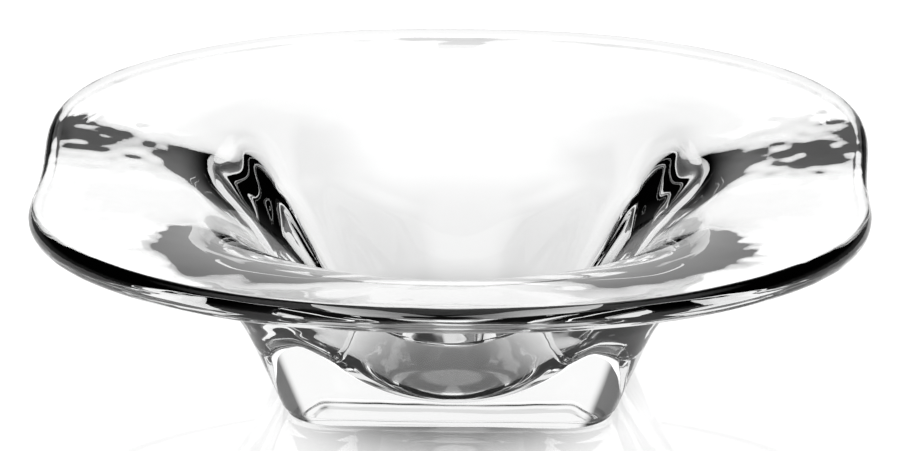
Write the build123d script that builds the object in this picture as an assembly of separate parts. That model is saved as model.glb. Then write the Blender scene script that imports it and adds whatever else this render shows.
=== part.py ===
from build123d import *
import math
import os

# Heavy clear glass centrepiece bowl: a round cavity that flares into a broad domed brim
# with a softly squared lip, squared on the outside, and set hot on a solid square glass foot.
# Millimetres, +Z up, origin on the table under the middle of the foot, +Y away from the viewer.

# Brim and lip
CREST_RADIUS = 140.0        # where the domed brim is highest
CREST_HEIGHT = 74.9         # top of the brim above the table
BRIM_DOME = 145.0           # radius of the gently domed brim
DOME_SLOPE = 21.0           # degrees of slope where the dome gives way to the tighter bend
LIP_RADIUS = 143.5          # centre line of the full-round lip, averaged round the plan

# How the brim's round plan squares up towards the lip: waves that pull it in at the sides
SQUARE_START = 100.0        # the upper face is round inside this radius
SIDE_WAIST = 1.1            # draws in the left and right sides and lets out front and back
CORNER_SWING = 5.9          # draws in all four sides and lets out the corners
FRONT_ROUND = 1.5           # keeps front and back rounder and narrows the waist of the sides
CORNER_TIGHTEN = 0.8        # finest wave, which tightens the corners

# The brim is pressed thinner in the middle of its left and right sides
HOLLOW = 4.2                # depth of the press, at the lip
HOLLOW_FULL = 126.0         # radius at which it reaches that depth
HOLLOW_POWER = 10           # the higher, the narrower the press

# Bowl wall
GLASS = 8.8                 # thickness of the wall and the brim, and height of the lip
WALL_BEND = 45.0            # radius of the bend from the brim into the wall
WALL_SLOPE = 46.0           # degrees between the wall and the table
FLOOR_HEIGHT = 6.1          # lowest point of the cavity above the table
FLOOR_GLASS = 3.5           # glass of the bowl itself under the cavity

# Squared outside of the bowl, which is thicker in the corners than the round cavity needs
FLARE_STRAIGHT = 32.0       # half length of the straight part of each side
FLARE_FULL = 70.0           # half width at which the round bottom has become fully square
FLARE_SOFTEN = 85.0         # half width from which the square softens into the plan of the lip

# Foot
FOOT_BASE = 109.0           # width of the square foot on the table
FOOT_LEAN = 20.1            # degrees by which its sides lean outward
FOOT_CORNER = 16.0          # plan radius of the foot's corners at the table
FOOT_CORNER_TOP = 22.0      # the same radius at the top of the block
FOOT_CLEARANCE = 5.3        # from the top of the block up to the inner edge of the brim
FOOT_EDGE = 1.6             # rounding of the edge that meets the table

# Fineness of the lofted outside and brim
PLAN_POINTS = 40            # points round each section
WALL_STEPS = 3              # sections up the straight of the wall
BEND_STEPS = 3              # sections in the bend under the brim
DOME_STEPS = 9              # sections across the underside of the brim, and again across its top
LIP_STEPS = 8               # sections round the lip

STEEP = math.radians(WALL_SLOPE)
GENTLE = math.radians(DOME_SLOPE)
LIP_SLOPE = -math.asin((LIP_RADIUS - CREST_RADIUS) / (BRIM_DOME - GLASS / 2))
TURNS = [2 * math.pi * i / PLAN_POINTS for i in range(PLAN_POINTS)]


def steps(first, last, count):
    """Evenly spaced values from the first to the last."""
    return [first + (last - first) * i / count for i in range(count + 1)]


def smooth_step(value, low, high):
    """0 up to the low value, 1 from the high value, and a smooth rise between them."""
    share = min(max((value - low) / (high - low), 0.0), 1.0)
    return share * share * (3 - 2 * share)


def below_top(top, bend, slope):
    """Radius and height on an arc that is level at its top, where it has the given slope."""
    return top[0] - bend * math.sin(slope), top[1] - bend * (1 - math.cos(slope))


def dome_point(slope, depth):
    """A point of the domed brim, at a depth below its upper face."""
    return below_top((CREST_RADIUS, CREST_HEIGHT - depth), BRIM_DOME - depth, slope)


def bend_point(slope, depth):
    """A point of the bend under the brim, which takes over from the dome without a crease."""
    bend = WALL_BEND - depth
    edge = dome_point(GENTLE, depth)
    top = (edge[0] + bend * math.sin(GENTLE), edge[1] + bend * (1 - math.cos(GENTLE)))
    return below_top(top, bend, slope)


def floor_point(slope, floor_height, depth):
    """A point of the round floor, which runs out into the sloping wall without a crease."""
    head = bend_point(STEEP, depth)
    drop = head[0] * math.tan(STEEP) - head[1] + floor_height
    bend = drop * math.cos(STEEP) / (1 - math.cos(STEEP))
    return bend * math.sin(slope), floor_height + bend * (1 - math.cos(slope))


def swing(turn):
    """How far the lip's plan lies inside its mean radius."""
    wide = SIDE_WAIST * math.cos(2 * turn) + CORNER_SWING * math.cos(4 * turn)
    fine = FRONT_ROUND * math.cos(6 * turn) + CORNER_TIGHTEN * math.cos(8 * turn)
    return wide + fine


def rounded_square(turn, half, straight):
    """Reach of a square with rounded corners and straight sides of twice the given length."""
    corner = half - straight
    aside = abs((turn + math.pi / 4) % (math.pi / 2) - math.pi / 4)
    if half * math.tan(aside) <= straight:
        return half / math.cos(aside)
    lean = math.cos(aside) + math.sin(aside)
    return straight * lean + math.sqrt(straight ** 2 * (lean ** 2 - 2) + corner ** 2)


def upper_reach(turn, radius):
    """Plan of the brim's upper face and of the lip."""
    return radius - smooth_step(radius, SQUARE_START, LIP_RADIUS) * swing(turn)


def flare_reach(turn, radius):
    """Plan of the outside: round at the bottom, square above, and the lip's plan at the brim."""
    round_end = floor_point(STEEP, FLOOR_HEIGHT - FLOOR_GLASS, GLASS)[0]
    straight = FLARE_STRAIGHT * smooth_step(radius, round_end, FLARE_FULL)
    soft = smooth_step(radius, FLARE_SOFTEN, LIP_RADIUS)
    return (1 - soft) * rounded_square(turn, radius, straight) + soft * (radius - swing(turn))


def hollow(turn, radius):
    """Depth of the press in the left and right sides of the brim."""
    edge = dome_point(GENTLE, 0)[0]
    return HOLLOW * smooth_step(radius, edge, HOLLOW_FULL) * math.cos(turn) ** (2 * HOLLOW_POWER)


def ring(reach, radius, height, press):
    """One section of the glass, a closed curve round the axis; press is its share of the hollow."""
    points = []
    for turn in TURNS:
        out = reach(turn, radius)
        points.append((out * math.cos(turn), out * math.sin(turn), height - press * hollow(turn, radius)))
    return Wire([Spline(*points, periodic=True)])


def level_circle(point):
    """A circle round the axis through a point given by its radius and height."""
    return Pos(0, 0, point[1]) * Wire.make_circle(point[0])


def outside_rings():
    """Sections from the round bottom up the squared outside to the underside of the lip."""
    low = floor_point(STEEP, FLOOR_HEIGHT - FLOOR_GLASS, GLASS)
    high = bend_point(STEEP, GLASS)
    points = list(zip(steps(low[0], high[0], WALL_STEPS), steps(low[1], high[1], WALL_STEPS)))[1:]
    points += [bend_point(slope, GLASS) for slope in steps(STEEP, GENTLE, BEND_STEPS)[1:]]
    points += [dome_point(slope, GLASS) for slope in steps(GENTLE, LIP_SLOPE, DOME_STEPS)[1:]]
    return [level_circle(low)] + [ring(flare_reach, *point, 0) for point in points]


def lip_rings():
    """Sections round the lip, between its underside and its top."""
    middle = dome_point(LIP_SLOPE, GLASS / 2)
    sections = []
    for i in range(1, LIP_STEPS):
        angle = LIP_SLOPE - math.pi / 2 + math.pi * i / LIP_STEPS
        radius = middle[0] + GLASS / 2 * math.cos(angle)
        height = middle[1] + GLASS / 2 * math.sin(angle)
        sections.append(ring(upper_reach, radius, height, i / LIP_STEPS))
    return sections


def brim_rings():
    """Sections across the top of the brim, from the lip in to its round inner edge."""
    slopes = steps(LIP_SLOPE, GENTLE, DOME_STEPS)
    sections = [ring(upper_reach, *dome_point(slope, 0), 1) for slope in slopes[:-1]]
    return sections + [level_circle(dome_point(GENTLE, 0))]


def on_profile(point):
    """A radius and a height as a point in the plane of the turned profile."""
    return point[0], 0, point[1]


def turned(outline):
    """The solid turned about the axis from a closed outline."""
    return revolve(make_face(outline), Axis.Z)


def make_bottom():
    """The round bottom under the squared outside."""
    floor = FLOOR_HEIGHT - FLOOR_GLASS
    arc = [on_profile(floor_point(slope, floor, GLASS)) for slope in steps(0, STEEP, 2)]
    middle = (0, 0, arc[-1][2])
    return turned([ThreePointArc(*arc), Line(arc[-1], middle), Line(middle, arc[0])])


def make_cavity():
    """The round hollow of the bowl, up to the inner edge of the brim."""
    floor = [on_profile(floor_point(slope, FLOOR_HEIGHT, 0)) for slope in steps(0, STEEP, 2)]
    bend = [on_profile(bend_point(slope, 0)) for slope in steps(STEEP, GENTLE, 2)]
    middle = (0, 0, bend[-1][2])
    outline = [ThreePointArc(*floor), Line(floor[-1], bend[0]), ThreePointArc(*bend)]
    return turned(outline + [Line(bend[-1], middle), Line(middle, floor[0])])


def make_foot(body):
    """The solid square foot, hollowed by the bowl that is set into it."""
    height = dome_point(GENTLE, 0)[1] - FOOT_CLEARANCE
    top_width = FOOT_BASE + 2 * height * math.tan(math.radians(FOOT_LEAN))
    base = RectangleRounded(FOOT_BASE, FOOT_BASE, FOOT_CORNER)
    top = Pos(0, 0, height) * RectangleRounded(top_width, top_width, FOOT_CORNER_TOP)
    block = loft([base, top])
    block = fillet(block.edges().group_by(Axis.Z)[0], FOOT_EDGE)
    return block - body


body = Solid.make_loft(outside_rings() + lip_rings() + brim_rings(), ruled=True) + make_bottom()
bowl = body - make_cavity()
foot = make_foot(body)

os.makedirs("parts", exist_ok=True)
export_step(bowl, "parts/bowl.step")
export_step(foot, "parts/foot.step")
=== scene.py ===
import math

import bpy
import numpy as np
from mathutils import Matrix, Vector, noise


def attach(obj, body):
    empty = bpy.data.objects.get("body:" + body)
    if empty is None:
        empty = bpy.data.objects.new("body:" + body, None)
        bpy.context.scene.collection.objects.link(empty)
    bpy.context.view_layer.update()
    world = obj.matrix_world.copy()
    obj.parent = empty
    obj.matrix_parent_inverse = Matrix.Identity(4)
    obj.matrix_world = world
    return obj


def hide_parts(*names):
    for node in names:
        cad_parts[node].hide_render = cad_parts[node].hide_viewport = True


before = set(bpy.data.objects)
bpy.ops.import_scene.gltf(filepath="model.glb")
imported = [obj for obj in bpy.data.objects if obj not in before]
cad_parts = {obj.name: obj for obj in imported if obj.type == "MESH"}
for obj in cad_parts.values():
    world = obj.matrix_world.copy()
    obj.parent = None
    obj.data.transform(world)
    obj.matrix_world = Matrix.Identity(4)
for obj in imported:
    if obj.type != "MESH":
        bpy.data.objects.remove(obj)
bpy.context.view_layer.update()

# Heavy clear glass centrepiece bowl on a square glass foot, alone on a white studio table.
# Sizes are in millimetres and angles in degrees unless a name says otherwise.
# The glass is one melted body, so one closed surface stands for both CAD nodes.
MM = 0.001

# Brim and lip
CREST_RADIUS = 140.0        # where the domed brim is highest
CREST_HEIGHT = 74.7         # top of the brim above the table
BRIM_DOME = 145.0           # radius of the gently domed brim
DOME_SLOPE = 18.0           # slope where the dome gives way to the tighter bend
LIP_RADIUS = 143.2          # centre line of the full-round lip, averaged round the plan

# How the brim's round plan squares up towards the lip: waves that pull it in at the sides
SQUARE_START = 100.0        # the upper face is round inside this radius
SIDE_WAIST = 1.1            # draws in the left and right sides and lets out front and back
CORNER_SWING = 5.9          # draws in all four sides and lets out the corners
FRONT_ROUND = 1.5           # keeps front and back rounder and narrows the waist of the sides
CORNER_TIGHTEN = 0.8        # finest wave, which tightens the corners

# The brim is pressed thinner in the middle of its left and right sides
HOLLOW = 4.2                # depth of the press, at the lip
HOLLOW_FULL = 134.0         # radius at which it reaches that depth
HOLLOW_POWER = 10           # the higher, the narrower the press

# Bowl wall
GLASS = 8.8                 # thickness of the wall and the brim, and height of the lip
WALL_BEND = 65.0            # radius of the bend from the brim into the wall
WALL_SLOPE = 46.0           # between the wall and the table
FLOOR_HEIGHT = 6.1          # lowest point of the cavity above the table
FLOOR_GLASS = 3.5           # glass of the bowl itself under the cavity

# Squared outside, which is thicker in the corners than the round cavity needs
FLARE_STRAIGHT = 32.0       # half length of the straight part of each side
FLARE_FULL = 70.0           # half width at which the round bottom has become fully square
FLARE_SOFTEN = 70.0         # half width from which the square softens into the plan of the lip
FLARE_SOFT = 110.0          # half width at which it has that plan
FLARE_BLEND = 8.0           # how far the melted joint between foot and flare is rounded
BLEND_END = (58.0, 66.0)    # heights between which that rounding dies away under the brim

# Foot
FOOT_BASE = 109.0           # width of the square foot on the table
FOOT_LEAN = 20.1            # by which its sides lean outward
FOOT_CORNER = 16.0          # plan radius of the foot's corners at the table
FOOT_CORNER_TOP = 22.0      # the same radius at the top of the foot
FOOT_TOP = 60.0             # height at which that radius is reached
FOOT_EDGE = 1.6             # rounding of the edge that meets the table

# Hand-worked surface
RIPPLES = ((0.16, 28.0), (0.035, 9.0))  # depth and length of each size of wave in the glass
STREAK_DEPTH = 0.014        # fine drawn lines that run along the lip
STREAK_WIDTH = 1.5
STREAK_LENGTH = 45.0
STREAK_START = (136.0, 141.0)  # mean radii over which the lines set in
MARK_DEPTH = 0.08           # marks that the tool left in the pressed sides
MARK_LENGTH = 6.0
MARK_START = (80.0, 115.0)  # distances from the middle over which the marks set in

# Fineness of the surface
SIDES = 360                 # steps round the axis
FINE = 40                   # steps across the brim, above and below
COARSE = 24                 # steps across the floor, the wall and each smaller bend

# Camera: a long lens, a little above the rim
CAMERA_RISE = 20.9          # above the horizon
CAMERA_TURN = 1.85          # to the right of straight in front
CAMERA_DISTANCE = 2702.0
CAMERA_LENS = 320.0
AIM_RIGHT = -1.2            # of the middle of the foot's base, across the picture
AIM_UP = 48.8               # above the middle of the foot's base, up the picture

# Glass as a material
GLASS_INDEX = 1.5           # index of refraction
GLASS_TINT = (0.985, 0.99, 0.988, 1)    # where the uneven tint is strongest
TINT_SCALE = 9.0            # clouds of tint to the metre
INNER_BOUNCES = 9           # times that light is turned by the glass before it counts as lost
MIRROR_BOUNCES = 4          # how many of these may be reflections

# Table: a white sheet that glows with its own light, as if lit from below, and is also lit from above,
# with a slight gloss
TABLE_HALF = 1500.0         # half of its width and of its depth
TABLE_DROP = 0.4            # air under the foot, so that glass and table never share a plane
TABLE_WHITE = 0.15          # share of its brightness that comes from above and takes shadows
TABLE_ROUGH = 0.02
TABLE_GLOSS = 2.0           # index of refraction of its polish

# Painted shades in the table's own light, in place of the bowl's shadow: middle on the table, stretch
# across and along, distances over which the light comes back, and the share of it that is left in the
# middle
# painted shade, dark, under and around the foot
PAINTED_FOOT_SHADE = ((0.0, -8.0), (1.25, 0.9), (35.0, 88.0), 0.15)
# painted shade, faint and wide, behind the bowl
PAINTED_SOFT_SHADE = ((0.0, 60.0), (2.0, 1.0), (45.0, 200.0), 0.86)

# Studio, as brightness by direction. Heights are the sine of the angle above the horizon,
# and backness is the cosine of the angle from straight behind the bowl.
BACKDROP_EDGE = (0.94, 0.985)   # backness over which the white backdrop begins
BACKDROP_FADE = (0.54, 0.37)    # heights between which it fades upwards
BACKDROP_HIGH = 0.12            # what is left of it above
STRIP_EDGE = (0.985, 0.998)     # backness over which a strip begins that is lit up to the top
STRIP = 0.75
OVERHEAD_EDGE = (0.80, 0.92)    # heights over which the overhead light begins
OVERHEAD = 0.85
HORIZON_FADE = (0.35, 0.10)     # heights between which the grey wall round the table fades upwards
HORIZON = 0.15
FRONT_EDGE = (-0.6, -0.9)       # backness over which the room in front begins
FRONT = 0.1
DARK = 0.005                    # black flags to the left and right

STEEP = math.radians(WALL_SLOPE)
GENTLE = math.radians(DOME_SLOPE)
LIP_SLOPE = -math.asin((LIP_RADIUS - CREST_RADIUS) / (BRIM_DOME - GLASS / 2))
TURN = np.arange(SIDES) * 2 * math.pi / SIDES


def steps(first, last, count):
    """Evenly spaced values from the first to the last."""
    return [first + (last - first) * i / count for i in range(count + 1)]


def smooth_step(value, low, high):
    """0 up to the low value, 1 from the high value, and a smooth rise between them."""
    share = min(max((value - low) / (high - low), 0.0), 1.0)
    return share * share * (3 - 2 * share)


def below_top(top, bend, slope):
    """Radius and height on an arc that is level at its top, where it has the given slope."""
    return top[0] - bend * math.sin(slope), top[1] - bend * (1 - math.cos(slope))


def dome_point(slope, depth):
    """A point of the domed brim, at a depth below its upper face."""
    return below_top((CREST_RADIUS, CREST_HEIGHT - depth), BRIM_DOME - depth, slope)


def bend_point(slope, depth):
    """A point of the bend under the brim, which takes over from the dome without a crease."""
    bend = WALL_BEND - depth
    edge = dome_point(GENTLE, depth)
    top = (edge[0] + bend * math.sin(GENTLE), edge[1] + bend * (1 - math.cos(GENTLE)))
    return below_top(top, bend, slope)


def floor_point(slope, floor_height, depth):
    """A point of the round floor, which runs out into the sloping wall without a crease."""
    head = bend_point(STEEP, depth)
    drop = head[0] * math.tan(STEEP) - head[1] + floor_height
    bend = drop * math.cos(STEEP) / (1 - math.cos(STEEP))
    return bend * math.sin(slope), floor_height + bend * (1 - math.cos(slope))


def wall_points(low, high):
    """Points up the straight of the wall, without its two ends."""
    return list(zip(steps(low[0], high[0], COARSE), steps(low[1], high[1], COARSE)))[1:-1]


def swing():
    """How far the lip's plan lies inside its mean radius, all the way round."""
    wide = SIDE_WAIST * np.cos(2 * TURN) + CORNER_SWING * np.cos(4 * TURN)
    fine = FRONT_ROUND * np.cos(6 * TURN) + CORNER_TIGHTEN * np.cos(8 * TURN)
    return wide + fine


def rounded_square(half, straight):
    """Reach of a square with rounded corners and straight sides of twice the given length."""
    corner = half - straight
    aside = np.abs((TURN + math.pi / 4) % (math.pi / 2) - math.pi / 4)
    lean = np.cos(aside) + np.sin(aside)
    bow = straight * lean + np.sqrt(np.maximum(straight ** 2 * (lean ** 2 - 2) + corner ** 2, 0))
    return np.where(half * np.tan(aside) <= straight, half / np.cos(aside), bow)


def upper_reach(radius):
    """Plan of the brim's upper face and of the lip."""
    return radius - smooth_step(radius, SQUARE_START, LIP_RADIUS) * swing()


def flare_reach(radius):
    """Plan of the outside: round at the bottom, square above, and the lip's plan at the brim."""
    round_end = floor_point(STEEP, FLOOR_HEIGHT - FLOOR_GLASS, GLASS)[0]
    straight = FLARE_STRAIGHT * smooth_step(radius, round_end, FLARE_FULL)
    soft = smooth_step(radius, FLARE_SOFTEN, FLARE_SOFT)
    return (1 - soft) * rounded_square(radius, straight) + soft * (radius - swing())


def foot_reach(height):
    """Plan of the leaning square foot."""
    half = FOOT_BASE / 2 + height * math.tan(math.radians(FOOT_LEAN))
    corner = FOOT_CORNER + (FOOT_CORNER_TOP - FOOT_CORNER) * height / FOOT_TOP
    return rounded_square(half, half - corner)


def melted(radius, height):
    """Plan of the outside where the foot and the flared bowl run into each other."""
    foot = foot_reach(height)
    flare = flare_reach(radius)
    blend = FLARE_BLEND * (1 - smooth_step(height, *BLEND_END))
    return 0.5 * (flare + foot + np.hypot(flare - foot, blend))


def hollow(radius):
    """Depth of the press in the left and right sides of the brim."""
    edge = dome_point(GENTLE, 0)[0]
    return HOLLOW * smooth_step(radius, edge, HOLLOW_FULL) * np.cos(TURN) ** (2 * HOLLOW_POWER)


def foot_rings():
    """The base and its rounded edge."""
    base = foot_reach(0) - FOOT_EDGE
    rings = [(base * share, 0.0) for share in steps(0, 1, 5)[1:-1]]
    for angle in steps(0, math.pi / 2, 6):
        rings.append((base + FOOT_EDGE * math.sin(angle), FOOT_EDGE * (1 - math.cos(angle))))
    return rings


def outside_rings():
    """The leaning sides, the flare and the underside of the brim."""
    floor = FLOOR_HEIGHT - FLOOR_GLASS
    points = [floor_point(slope, floor, GLASS) for slope in steps(0, STEEP, COARSE)]
    points += wall_points(points[-1], bend_point(STEEP, GLASS))
    points += [bend_point(slope, GLASS) for slope in steps(STEEP, GENTLE, COARSE)]
    points += [dome_point(slope, GLASS) for slope in steps(GENTLE, LIP_SLOPE, FINE)[1:]]
    return [(melted(radius, height), height) for radius, height in points if height > 2 * FOOT_EDGE]


def lip_rings():
    """The full round of the lip, between its underside and its top."""
    middle = dome_point(LIP_SLOPE, GLASS / 2)
    rings = []
    for i in range(1, FINE):
        angle = LIP_SLOPE - math.pi / 2 + math.pi * i / FINE
        radius = middle[0] + GLASS / 2 * math.cos(angle)
        height = middle[1] + GLASS / 2 * math.sin(angle)
        rings.append((upper_reach(radius), height - hollow(radius) * i / FINE))
    return rings


def upper_rings():
    """The top of the brim, then the cavity down to its floor."""
    rings = []
    for slope in steps(LIP_SLOPE, GENTLE, FINE):
        radius, height = dome_point(slope, 0)
        rings.append((upper_reach(radius), height - hollow(radius)))
    points = [bend_point(slope, 0) for slope in steps(GENTLE, STEEP, COARSE)[1:]]
    points += wall_points(points[-1], floor_point(STEEP, FLOOR_HEIGHT, 0))
    points += [floor_point(slope, FLOOR_HEIGHT, 0) for slope in steps(STEEP, 0, COARSE)[:-1]]
    return rings + [(np.full(SIDES, radius), height) for radius, height in points]


def ring_points(reach, height):
    """The points of one ring, in metres."""
    level = np.broadcast_to(height, reach.shape)
    return np.stack([reach * np.cos(TURN), reach * np.sin(TURN), level], axis=1) * MM


def closed_faces(rings):
    """Faces of a closed skin from the point under the base, ring by ring, to the cavity's floor."""
    here = np.arange(SIDES)
    after = (here + 1) % SIDES
    faces = [(0, b + 1, a + 1) for a, b in zip(here.tolist(), after.tolist())]
    for i in range(rings - 1):
        low = 1 + i * SIDES
        quads = np.stack([low + here, low + after, low + SIDES + after, low + SIDES + here], axis=1)
        faces += quads.tolist()
    last = 1 + rings * SIDES
    faces += [(last - SIDES + a, last - SIDES + b, last) for a, b in zip(here.tolist(), after.tolist())]
    return faces


def read_vectors(vertices, name):
    """One vector property of all vertices as an array."""
    values = np.empty(len(vertices) * 3, dtype=np.float32)
    vertices.foreach_get(name, values)
    return values.reshape(-1, 3)


def waves(points):
    """Depth of the slow waves at each point."""
    depth = np.zeros(len(points))
    for height, length in RIPPLES:
        depth += [height * noise.noise(Vector(point)) for point in points / (length * MM)]
    return depth


def press_marks(points):
    """Depth of the tool's marks in the left and right sides at each point."""
    across = np.abs(points[:, 0]) / MM
    share = [smooth_step(distance, *MARK_START) for distance in across]
    marks = [noise.noise(Vector(point)) for point in points / (MARK_LENGTH * MM)]
    return MARK_DEPTH * np.multiply(share, marks)


def streaks(rings):
    """Depth of the lines along the lip, at each point of each ring."""
    radius = np.array([reach.mean() for reach, height in rings])
    height = np.array([np.mean(height) for reach, height in rings])
    along = np.cumsum(np.hypot(np.diff(radius, prepend=0), np.diff(height, prepend=0)))
    round_axis = np.stack([np.cos(TURN), np.sin(TURN)], axis=1) * LIP_RADIUS / STREAK_LENGTH
    depth = np.zeros((len(rings), SIDES))
    for i, share in enumerate(smooth_step(value, *STREAK_START) for value in radius):
        if share > 0:
            line = [noise.noise(Vector((x, y, along[i] / STREAK_WIDTH))) for x, y in round_axis]
            depth[i] = share * STREAK_DEPTH * np.array(line)
    return depth


def ripple(mesh, rings):
    """Pushes the skin in and out a little along its normals."""
    points = read_vectors(mesh.vertices, "co")
    normals = read_vectors(mesh.vertices, "normal")
    depth = waves(points) + press_marks(points)
    depth[1:-1] += streaks(rings).ravel()
    points += normals * (depth * MM)[:, None]
    points[:, 2] = np.maximum(points[:, 2], 0)
    mesh.vertices.foreach_set("co", points.ravel())
    mesh.update()


def make_glass():
    """The whole glass body as one closed skin."""
    rings = foot_rings() + outside_rings() + lip_rings() + upper_rings()
    points = [(0.0, 0.0, 0.0)]
    for reach, height in rings:
        points += ring_points(reach, height).tolist()
    points.append((0.0, 0.0, FLOOR_HEIGHT * MM))
    mesh = bpy.data.meshes.new("glass_bowl")
    mesh.from_pydata(points, [], closed_faces(len(rings)))
    mesh.update()
    ripple(mesh, rings)
    mesh.shade_smooth()
    glass = bpy.data.objects.new("glass_bowl", mesh)
    bpy.context.scene.collection.objects.link(glass)
    return glass


def add_node(tree, kind, **settings):
    """A shader node with its own properties set."""
    node = tree.nodes.new(kind)
    for name, value in settings.items():
        setattr(node, name, value)
    return node


def math_node(tree, operation, *values):
    """The result of a math node; each value is a number or another node's result."""
    node = add_node(tree, "ShaderNodeMath", operation=operation)
    for socket, value in zip(node.inputs, values):
        if isinstance(value, (int, float)):
            socket.default_value = value
        else:
            tree.links.new(value, socket)
    return node.outputs[0]


def rise(tree, value, low, high):
    """0 at the low value, 1 at the high one, smooth between; low may be the larger of the two."""
    node = add_node(tree, "ShaderNodeMapRange", interpolation_type="SMOOTHSTEP")
    tree.links.new(value, node.inputs["Value"])
    node.inputs["From Min"].default_value = low
    node.inputs["From Max"].default_value = high
    return node.outputs["Result"]


def glass_material():
    """Water-clear soda glass with the faintest uneven tint."""
    material = bpy.data.materials.new("clear_glass")
    material.use_nodes = True
    tree = material.node_tree
    shader = tree.nodes["Principled BSDF"]
    shader.inputs["Roughness"].default_value = 0.0
    shader.inputs["IOR"].default_value = GLASS_INDEX
    shader.inputs["Transmission Weight"].default_value = 1.0
    place = add_node(tree, "ShaderNodeTexCoord")
    cloud = add_node(tree, "ShaderNodeTexNoise")
    cloud.inputs["Scale"].default_value = TINT_SCALE
    cloud.inputs["Detail"].default_value = 2.0
    tint = add_node(tree, "ShaderNodeValToRGB")
    tint.color_ramp.elements[0].color = GLASS_TINT
    tint.color_ramp.elements[1].color = (1, 1, 1, 1)
    tree.links.new(place.outputs["Object"], cloud.inputs["Vector"])
    tree.links.new(cloud.outputs["Fac"], tint.inputs["Fac"])
    tree.links.new(tint.outputs["Color"], shader.inputs["Base Color"])
    return material


def painted_shade(tree, middle, stretch, edges, left):
    """A soft oval shade painted into the table's own light."""
    place = add_node(tree, "ShaderNodeTexCoord")
    oval = add_node(tree, "ShaderNodeMapping")
    distance = add_node(tree, "ShaderNodeVectorMath", operation="LENGTH")
    oval.inputs["Location"].default_value = [-m * s * MM for m, s in zip(middle, stretch)] + [0]
    oval.inputs["Scale"].default_value = (*stretch, 0)
    tree.links.new(place.outputs["Object"], oval.inputs["Vector"])
    tree.links.new(oval.outputs["Vector"], distance.inputs[0])
    lit = rise(tree, distance.outputs["Value"], *[edge * MM for edge in edges])
    return math_node(tree, "MULTIPLY_ADD", lit, 1 - left, left)


def table_material():
    """White sheet that glows evenly, but for the painted shades under and behind the bowl."""
    material = bpy.data.materials.new("white_sheet")
    material.use_nodes = True
    tree = material.node_tree
    shader = tree.nodes["Principled BSDF"]
    shader.inputs["Base Color"].default_value = (TABLE_WHITE, TABLE_WHITE, TABLE_WHITE, 1)
    shader.inputs["Roughness"].default_value = TABLE_ROUGH
    shader.inputs["IOR"].default_value = TABLE_GLOSS
    shader.inputs["Emission Color"].default_value = (1, 1, 1, 1)
    # the painted shades under and behind the bowl dim the table's glow
    painted_shades = math_node(tree, "MULTIPLY", painted_shade(tree, *PAINTED_FOOT_SHADE), painted_shade(tree, *PAINTED_SOFT_SHADE))
    glow = math_node(tree, "MULTIPLY", painted_shades, 1 - TABLE_WHITE)
    tree.links.new(glow, shader.inputs["Emission Strength"])
    return material


def make_table():
    """The white table top."""
    mesh = bpy.data.meshes.new("table")
    signs = [(-1, -1), (1, -1), (1, 1), (-1, 1)]
    corners = [(x * TABLE_HALF * MM, y * TABLE_HALF * MM, -TABLE_DROP * MM) for x, y in signs]
    mesh.from_pydata(corners, [], [(0, 1, 2, 3)])
    mesh.materials.append(table_material())
    table = bpy.data.objects.new("table", mesh)
    bpy.context.scene.collection.objects.link(table)
    return table


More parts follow.
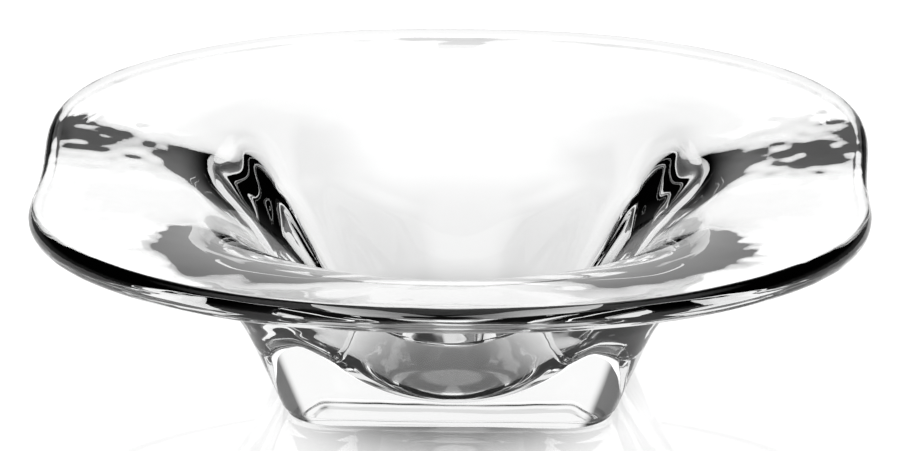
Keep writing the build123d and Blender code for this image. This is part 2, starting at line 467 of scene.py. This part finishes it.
def studio_brightness(tree):
    """Brightness of the studio in each direction, as the glass sees it."""
    place = add_node(tree, "ShaderNodeTexCoord")
    split = add_node(tree, "ShaderNodeSeparateXYZ")
    tree.links.new(place.outputs["Generated"], split.inputs[0])
    x, y, height = split.outputs
    square = math_node(tree, "MULTIPLY_ADD", x, x, math_node(tree, "MULTIPLY", y, y))
    level = math_node(tree, "SQRT", square)
    backness = math_node(tree, "DIVIDE", y, math_node(tree, "MAXIMUM", level, 0.0001))
    low = rise(tree, height, *BACKDROP_FADE)
    backdrop = math_node(tree, "MULTIPLY_ADD", low, 1 - BACKDROP_HIGH, BACKDROP_HIGH)
    backdrop = math_node(tree, "MULTIPLY", backdrop, rise(tree, backness, *BACKDROP_EDGE))
    overhead = math_node(tree, "MULTIPLY", rise(tree, height, *OVERHEAD_EDGE), OVERHEAD)
    strip = math_node(tree, "MULTIPLY", rise(tree, backness, *STRIP_EDGE), STRIP)
    front = math_node(tree, "MULTIPLY", rise(tree, backness, *FRONT_EDGE), FRONT)
    horizon = math_node(tree, "MULTIPLY", rise(tree, height, *HORIZON_FADE), HORIZON)
    lit = math_node(tree, "MAXIMUM", math_node(tree, "MAXIMUM", backdrop, strip), overhead)
    lit = math_node(tree, "MAXIMUM", lit, math_node(tree, "MAXIMUM", front, horizon))
    return math_node(tree, "MAXIMUM", lit, DARK)


def make_studio():
    """Even white light on the table, and the studio with its dark sides for the glass to show."""
    world = bpy.data.worlds.new("studio")
    bpy.context.scene.world = world
    world.use_nodes = True
    tree = world.node_tree
    background = tree.nodes["Background"]
    background.inputs["Color"].default_value = (1, 1, 1, 1)
    ray = add_node(tree, "ShaderNodeLightPath")
    glassy = math_node(tree, "MAXIMUM", ray.outputs["Is Glossy Ray"], ray.outputs["Is Transmission Ray"])
    missing = math_node(tree, "SUBTRACT", 1.0, studio_brightness(tree))
    strength = math_node(tree, "SUBTRACT", 1.0, math_node(tree, "MULTIPLY", missing, glassy))
    tree.links.new(strength, background.inputs["Strength"])


def make_camera():
    """The camera of the photo, aimed above the foot."""
    camera = bpy.data.cameras.new("camera")
    holder = bpy.data.objects.new("camera", camera)
    bpy.context.scene.collection.objects.link(holder)
    rise_angle = math.radians(CAMERA_RISE)
    turn = math.radians(CAMERA_TURN)
    ahead = Vector((-math.sin(turn), math.cos(turn), 0))
    right = Vector((math.cos(turn), math.sin(turn), 0))
    view = ahead * math.cos(rise_angle) - Vector((0, 0, math.sin(rise_angle)))
    aim = (right * AIM_RIGHT + right.cross(view) * AIM_UP) * MM
    holder.location = -view * CAMERA_DISTANCE * MM
    holder.rotation_euler = (aim - holder.location).to_track_quat("-Z", "Y").to_euler()
    camera.lens = CAMERA_LENS
    camera.clip_end = 20
    bpy.context.scene.camera = holder


glass = make_glass()
glass.data.materials.append(glass_material())
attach(glass, "root")
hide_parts("bowl", "foot")
make_table()
make_studio()
make_camera()
bpy.context.scene.view_settings.view_transform = "Standard"
bpy.context.scene.cycles.glossy_bounces = MIRROR_BOUNCES
bpy.context.scene.cycles.transmission_bounces = INNER_BOUNCES
bpy.context.scene.cycles.max_bounces = INNER_BOUNCES
